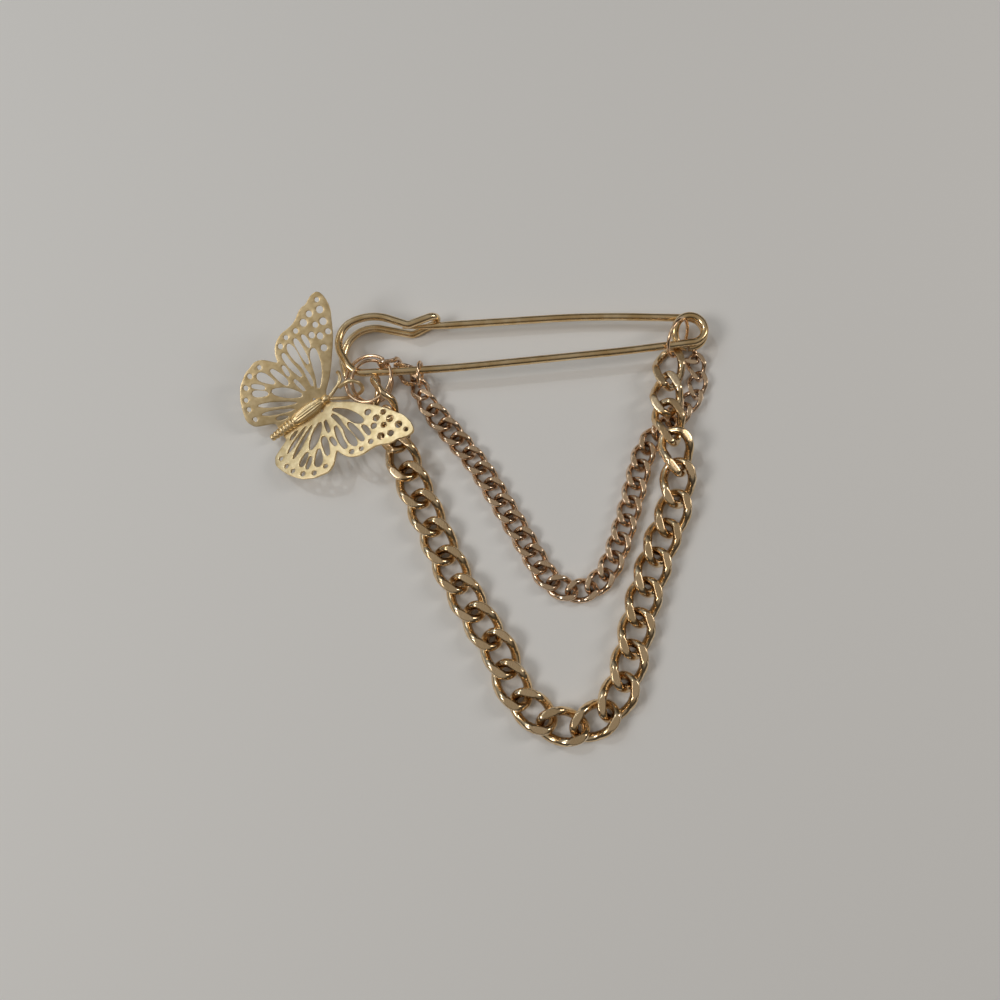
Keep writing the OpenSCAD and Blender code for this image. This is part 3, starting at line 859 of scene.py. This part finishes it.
# The open cells between its veins, in the same shares
wingCells = [
    [(-3, 13.5), (6, 25.5), (11, 37.5), (14, 51), (12, 53.5), (8, 48.5), (5, 37), (2, 25.5)],
    [(-4.5, 19), (-1, 29.5), (-1, 44), (2, 62), (1.2, 71.5), (-0.7, 72), (-2.7, 66), (-2.7, 54.5),
     (-1, 44.5), (-3, 31)],
    [(3, 41), (6, 51.5), (7.5, 70.5), (6, 73), (4.5, 68.5), (3, 53.5)],
    [(-6, 34), (-5.5, 46.5), (-6.5, 57), (-6, 67.5), (-8, 67), (-9, 60), (-8.5, 47.5)],
    [(11, 55.5), (13, 60.5), (13.5, 68.5), (12, 72), (11, 65)],
    [(-12.5, 18), (-19.5, 36), (-30, 44.5), (-29.5, 37.5), (-22.5, 26)],
    [(-10, 20), (-11, 37.5), (-12.5, 38), (-12, 28)],
    [(-17.5, 38), (-16, 44.5), (-19.5, 61), (-22, 61), (-20, 41.5)],
    [(-12.5, 44.5), (-11.5, 56), (-13, 57.5), (-14, 47)],
    [(-24, 47), (-26, 62.5), (-30.5, 67), (-33, 61.5), (-27.5, 51)],
    [(-33.5, 42), (-33.5, 46), (-41, 55), (-43, 49.5)],
    [(-33, 49), (-32.5, 52.5), (-38.5, 61), (-39.5, 58)]]
# Round holes: the same shares and the hole's width
wingDots = [
    (19.5, 47, 1.3), (29, 58.5, 1.1), (22.5, 59.5, 1.3), (30.5, 70, 1.4), (18, 65.5, 1.2),
    (24.5, 72, 1.1), (33.5, 82, 1.4), (36, 92, 0.9), (25.5, 85, 1.2), (18.5, 81, 1.4),
    (10.5, 79, 1.0), (2, 79.5, 0.9), (-5, 75.5, 1.0), (-52.5, 29, 0.9), (-51.5, 41.5, 0.9),
    (-49, 51.5, 0.9),
    (-43.5, 62, 1.0), (-36, 69.5, 1.0), (-26.5, 71, 0.9), (-9.2, 8.5, 0.7)]
# Slits of the hind wing: root end, tip end and width
wingSlits = [(-31, 10, -41, 16.5, 0.9), (-23, 11.5, -48, 30, 1.0), (-18.5, 15, -46.5, 40.5, 1.1)]
# The body from its front: share of its length, share of its thickest diameter
bodyRows = [(0, 0.12), (0.02, 0.42), (0.05, 0.56), (0.08, 0.54), (0.1, 0.42), (0.12, 0.6),
            (0.16, 0.74), (0.22, 0.88), (0.31, 1.0), (0.41, 1.02), (0.5, 0.94), (0.57, 0.82),
            (0.61, 0.6)]
# Antennae, measured from the catch's corner and the top wire's height
leftAntenna = [(-4.4, -5, -0.05), (-3.4, -3.4, 0.05), (-2.7, -2.4, 0.25), (-2.4, -1.1, 0.25),
               (-2.7, 0, 0.1), (-3.1, 0.3, 0)]
rightAntenna = [(-4.4, -5.1, -0.1), (-2.1, -4.5, -1.5), (-0.7, -4.1, -2), (0.5, -3.8, -1.8),
                (1.8, -3.2, -0.8), (1.8, -2.6, 0.7), (0.6, -2.2, 1.7), (-0.9, -2.4, 1.6),
                (-2.4, -3, 0.3)]


def onWing(share):
    return (share[0] * butterfly["wingLength"] / 100, share[1] * butterfly["wingReach"] / 100)


# A closed line with its corners cut twice
def softer(points):
    for _ in range(2):
        cut = []
        for i, p in enumerate(points):
            q = points[(i + 1) % len(points)]
            cut.append((0.75 * p[0] + 0.25 * q[0], 0.75 * p[1] + 0.25 * q[1]))
            cut.append((0.25 * p[0] + 0.75 * q[0], 0.25 * p[1] + 0.75 * q[1]))
        points = cut
    return points


# The same closed line, moved outwards all round
def wider(points, by):
    points = [np.array(p) for p in points]
    turned = sum(p[0] * q[1] - p[1] * q[0] for p, q in zip(points, points[1:] + points[:1]))
    sign = math.copysign(1, turned)
    out = []
    for i, p in enumerate(points):
        way = points[(i + 1) % len(points)] - points[i - 1]
        out.append(tuple(p + by * sign * unit((way[1], -way[0]))))
    return out


def wingLoops():
    loops = [softer([onWing(p) for p in wingOutline])]
    for cell in wingCells:
        loops.append(wider(softer([onWing(p) for p in cell]), butterfly["cellGrow"]))
    for x0, y0, x1, y1, wide in wingSlits:
        start, end = np.array(onWing((x0, y0))), np.array(onWing((x1, y1)))
        side = unit((start - end)[::-1] * (1, -1)) * wide / 2
        run = end - start
        (near, nearWide), (far, farWide) = butterfly["slitNear"], butterfly["slitFar"]
        loops.append(softer([tuple(p) for p in (
            start, start + run * near + side * nearWide, start + run * far + side * farWide, end,
            start + run * far - side * farWide, start + run * near - side * nearWide)]))
    for x, y, wide in wingDots:
        middle = np.array(onWing((x, y)))
        count = butterfly["dotSides"]
        loops.append([tuple(middle + polar(wide / 2, 360 * k / count)) for k in range(count)])
    return loops


# One pierced wing lying flat, in millimetres, with soft edges and a fine grid to bend it by
def wingMesh():
    curve = bpy.data.curves.new("wing", "CURVE")
    curve.dimensions = "2D"
    curve.fill_mode = "BOTH"
    curve.bevel_depth = butterfly["edge"]
    curve.bevel_resolution = butterfly["edgeSteps"]
    curve.offset = -butterfly["edge"]
    curve.extrude = butterfly["sheet"] / 2 - butterfly["edge"]
    for loop in wingLoops():
        spline = curve.splines.new("POLY")
        spline.points.add(len(loop) - 1)
        for point, place in zip(spline.points, loop):
            point.co = (*place, 0, 1)
        spline.use_cyclic_u = True
    mesh = evaluatedMesh(placed("wing", curve), "wing")
    build = bmesh.new()
    build.from_mesh(mesh)
    bmesh.ops.remove_doubles(build, verts=build.verts, dist=butterfly["weld"])
    step = butterfly["gridStep"]
    for axis, (low, high) in ((0, butterfly["gridAlong"]), (1, butterfly["gridReach"])):
        for k in range(math.ceil(low / step), math.floor(high / step) + 1):
            where, way = Vector((0, 0, 0)), Vector((0, 0, 0))
            where[axis], way[axis] = k * step, 1
            bmesh.ops.bisect_plane(build, geom=build.verts[:] + build.edges[:] + build.faces[:],
                                   plane_co=where, plane_no=way, dist=butterfly["weld"])
    bmesh.ops.recalc_face_normals(build, faces=build.faces)
    build.to_mesh(mesh)
    build.free()
    return mesh


# How strongly the thorax is ribbed, at a share of the body's length
def ribbing(share):
    fade = butterfly["ribsFade"]
    risen = ease(min(1, max(0, (share - butterfly["ribsFrom"]) / fade)))
    return risen * ease(min(1, max(0, (butterfly["ribsTo"] - share) / fade)))


# The ribbed thorax and ringed tail, turned about their own axis
def bodyMesh():
    rows = [(share, wide, ribbing(share)) for share, wide in bodyRows]
    fine = []
    for a, b in zip(rows[:-1], rows[1:]):
        for k in range(butterfly["bodySteps"]):
            t = k / butterfly["bodySteps"]
            fine.append(tuple(a[i] + (b[i] - a[i]) * t for i in range(3)))
    tailFrom, count = butterfly["tailFrom"], butterfly["tailRings"]
    thick, thin = butterfly["tailWide"]
    waist, steps = butterfly["tailWaist"], butterfly["tailSteps"]
    for i in range(count):
        for t in steps:
            along = (i + t) / count
            wide = thick + (thin - thick) * along
            arch = math.sin(math.pi * min(1, t / steps[-1])) ** butterfly["tailCurve"]
            bulge = waist + (1 - waist) * arch
            fine.append((tailFrom + (1 - tailFrom) * along, wide * bulge, 0.0))
    fine.append((1.0, butterfly["tailTip"], 0.0))
    sides = butterfly["bodySides"]
    points, faces = [], []
    for share, wide, ribbed in fine:
        x = butterfly["bodyFront"] - share * butterfly["bodyLength"]
        for j in range(sides):
            a = 2 * math.pi * j / sides
            between = (0.5 - 0.5 * math.cos(2 * butterfly["grooves"] * a)) ** 2
            groove = 1 - ribbed * butterfly["grooveDepth"] * between
            radius = wide * butterfly["bodyWide"] / 2 * groove
            points.append((x, radius * math.cos(a), radius * math.sin(a) + butterfly["bodyLift"]))
    for i in range(len(fine) - 1):
        for j in range(sides):
            k = (j + 1) % sides
            faces.append((i * sides + j, i * sides + k, (i + 1) * sides + k, (i + 1) * sides + j))
    for ring in (0, len(fine) - 1):
        faces.append(tuple(ring * sides + j for j in range(sides)))
    return points, faces


# From the butterfly's own axes to where its head lies, in millimetres
def flyPlace():
    head = corner + butterfly["headFromCorner"]
    return (Matrix.Translation((*head, butterfly["headHeight"]))
            @ Matrix.Rotation(math.radians(butterfly["heading"]), 4, "Z")
            @ Matrix.Rotation(math.radians(-butterfly["pitch"]), 4, "Y"))


def makeButterfly(materials):
    whole = bmesh.new()
    wing = wingMesh()
    for rise, flip in ((butterfly["leftRise"], 1), (butterfly["rightRise"], -1)):
        part = bmesh.new()
        part.from_mesh(wing)
        for v in part.verts:
            reach = v.co.y / butterfly["wingReach"]
            v.co.z += butterfly["bow"] * 4 * reach * (1 - reach)  # highest half-way out
        turned = Matrix.Rotation(math.radians(rise), 4, "X")
        mirror = Matrix.Diagonal((1, flip, 1, 1))
        part.transform(Matrix.Scale(millimetre, 4) @ flyPlace() @ mirror @ turned)
        bmesh.ops.recalc_face_normals(part, faces=part.faces)
        addTo(whole, part, 0)
    addTo(whole, looseMesh(*bodyMesh(), flyPlace()), 1)
    for route in (leftAntenna, rightAntenna):
        smooth = catmullRom(route, butterfly["antennaSteps"])
        path = [(corner[0] + p[0], corner[1] + p[1], topHeight + p[2]) for p in smooth]
        path, radii = rounded(path, butterfly["antenna"] / 2, butterfly["antennaBevel"])
        tube = sweep(path, radii, butterfly["antennaSides"])
        addTo(whole, looseMesh(*tube, Matrix.Identity(4)), 1)
    mesh = bpy.data.meshes.new("butterfly")
    whole.to_mesh(mesh)
    whole.free()
    mesh.shade_smooth()
    mesh.set_sharp_from_angle(angle=math.radians(butterfly["sharpAngle"]))
    mesh.materials.append(materials["wingGold"])
    mesh.materials.append(materials["bodyGold"])
    finishPiece(placed("butterflyDrop", mesh), "brooch", "butterfly")
    print("butterfly made of", len(mesh.polygons), "faces")


def looseMesh(points, faces, place):
    part = bmesh.new()
    verts = [part.verts.new(Vector(tuple(map(float, p)))) for p in points]
    for face in faces:
        part.faces.new([verts[i] for i in face])
    part.transform(Matrix.Scale(millimetre, 4) @ place)
    bmesh.ops.recalc_face_normals(part, faces=part.faces)
    return part


def addTo(whole, part, materialIndex):
    for face in part.faces:
        face.material_index = materialIndex
    mesh = bpy.data.meshes.new("part")
    part.to_mesh(mesh)
    part.free()
    whole.from_mesh(mesh)
    bpy.data.meshes.remove(mesh)


bpy.context.scene.view_settings.view_transform = "Standard"
makeCamera()
for lampName, lampSettings in studio["lamps"].items():
    areaLight(lampName, *lampSettings)
makeRoom()
print("camera and light set")
materials = makeMaterials()
makeFloor(materials["paleFloor"])
makePin(materials["pinGold"])
for nodeName, pieceName in (("ring_chain", "chainRing"), ("ring_butterfly", "butterflyRing"),
                            ("ring_keeper", "keeperRing"), ("ring_coil", "coilRing")):
    makeRing(nodeName, pieceName, materials["ringGold"])
print("jump rings made")
linksOnPoints, linkInputs = chainTree()
makeChain("outerChain", outerChain, linksOnPoints, linkInputs, materials)
makeChain("innerChain", innerChain, linksOnPoints, linkInputs, materials)
makeButterfly(materials)
